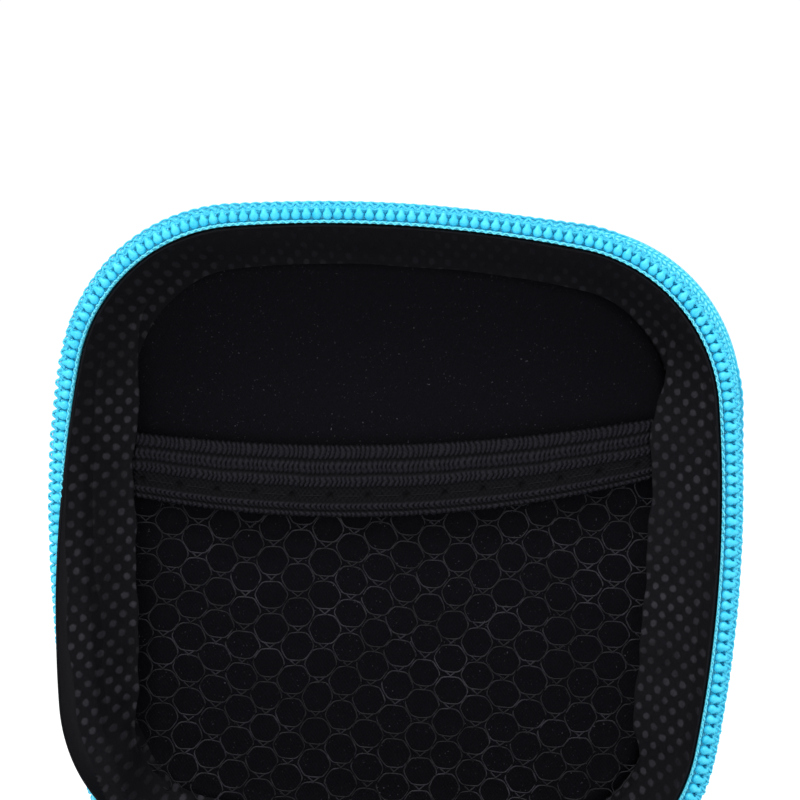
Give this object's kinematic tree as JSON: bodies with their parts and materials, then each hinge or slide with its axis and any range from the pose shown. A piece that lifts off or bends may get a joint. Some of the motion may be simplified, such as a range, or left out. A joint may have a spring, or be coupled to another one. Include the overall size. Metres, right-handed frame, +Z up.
{
  "type": "zippered earphone case",
  "caption": "Small square hard case with rounded corners, opening on a fabric hinge, closed by a coil zipper, with a net pocket inside the lid.",
  "frame": {"origin": "centre of the flat underside of the base half, which lies on the table", "axes": "+Z up, +Y towards the fabric hinge, +X to the right of someone looking into the standing lid"},
  "size_m": [0.08, 0.098, 0.098],
  "materials": {
    "cover": "matte",
    "foam": "matte",
    "lining": "matte",
    "tape": "matte",
    "coil": "satin",
    "thread": "matte",
    "board": "matte",
    "panel_cloth": "matte",
    "net": "matte",
    "elastic": "matte",
    "black_thread": "matte",
    "hinge_cloth": "matte",
    "slider_metal": "satin"
  },
  "bodies": {
    "base": {"base_outer_cover": "cover", "base_foam_shell": "foam", "base_lining": "lining", "base_zipper_tape": "tape", "base_zipper_coil": "coil", "base_zipper_stop": "coil", "base_rim_stitching": "thread", "base_hinge_seam": "thread", "hinge_strip_outer": "hinge_cloth", "hinge_strip_lining": "lining"},
    "lid": {"lid_outer_cover": "cover", "lid_foam_shell": "foam", "lid_lining": "lining", "lid_zipper_tape": "tape", "lid_zipper_coil": "coil", "lid_zipper_stop": "coil", "lid_rim_stitching": "thread", "lid_hinge_seam": "thread", "pocket_board": "board", "pocket_fabric": "panel_cloth", "pocket_net": "net", "pocket_elastic": "elastic", "pocket_stitching": "black_thread"},
    "zipper_chain": {"zipper_chain_end": "coil", "zipper_chain_stop": "coil"},
    "slider": {"slider_body": "slider_metal", "slider_bridge": "slider_metal"},
    "pull": {"pull_tab": "slider_metal"}
  },
  "joints": [
    {"name": "lid_hinge", "type": "hinge", "parent": "base", "child": "lid", "pos_m": [0, 0.0405, 0.0175], "axis": [1, 0, 0], "range_deg": [-28, 90], "deforming": ["hinge_strip_outer", "hinge_strip_lining"]},
    {"name": "chain_fold", "type": "hinge", "parent": "base", "child": "zipper_chain", "pos_m": [0, 0.0405, 0.0175], "axis": [1, 0, 0], "range_deg": [-14, 45]},
    {"name": "slider_slide", "type": "slide", "parent": "zipper_chain", "child": "slider", "axis": [-0.9932, -0.0825, 0.0825], "range_m": [0, 0.003]},
    {"name": "pull_swing", "type": "hinge", "parent": "slider", "child": "pull", "pos_m": [-0.01771, 0.04069, 0.01731], "axis": [0, 0.7071, 0.7071], "range_deg": [-60, 70]}
  ],
  "couplings": [
    {"joint": "chain_fold", "follows": "lid_hinge", "ratio": 0.5}
  ]
}
